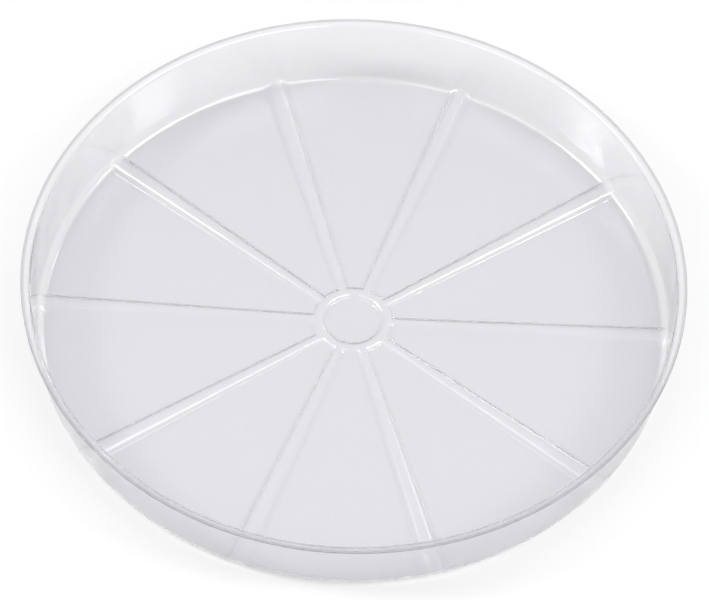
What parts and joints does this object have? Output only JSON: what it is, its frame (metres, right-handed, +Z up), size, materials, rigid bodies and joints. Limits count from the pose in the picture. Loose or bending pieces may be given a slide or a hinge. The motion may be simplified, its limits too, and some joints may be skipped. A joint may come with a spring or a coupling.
{
  "type": "plant saucer",
  "caption": "Shallow round clear plastic plant saucer with a steep wall, a narrow rim lip and raised hollow ribs that run from a ring in the middle of its floor and hold a pot off the water.",
  "frame": {"origin": "centre of the floor's underside, on the surface that the saucer stands on", "axes": "+Z up along the saucer's axis, +X along the crown of rib_01"},
  "size_m": [0.254, 0.254, 0.03],
  "materials": {
    "clear_plastic": "clear colourless formed sheet, glossy on both sides"
  },
  "bodies": {
    "root": {"hub_disc": "clear_plastic", "hub_ring": "clear_plastic", "heel": "clear_plastic", "side_wall": "clear_plastic", "rim_lip": "clear_plastic", "rib_01": "clear_plastic", "rib_02": "clear_plastic", "rib_03": "clear_plastic", "rib_04": "clear_plastic", "rib_05": "clear_plastic", "rib_06": "clear_plastic", "rib_07": "clear_plastic", "rib_08": "clear_plastic", "rib_09": "clear_plastic", "rib_10": "clear_plastic", "floor_panel_01": "clear_plastic", "floor_panel_02": "clear_plastic", "floor_panel_03": "clear_plastic", "floor_panel_04": "clear_plastic", "floor_panel_05": "clear_plastic", "floor_panel_06": "clear_plastic", "floor_panel_07": "clear_plastic", "floor_panel_08": "clear_plastic", "floor_panel_09": "clear_plastic", "floor_panel_10": "clear_plastic"}
  },
  "joints": []
}
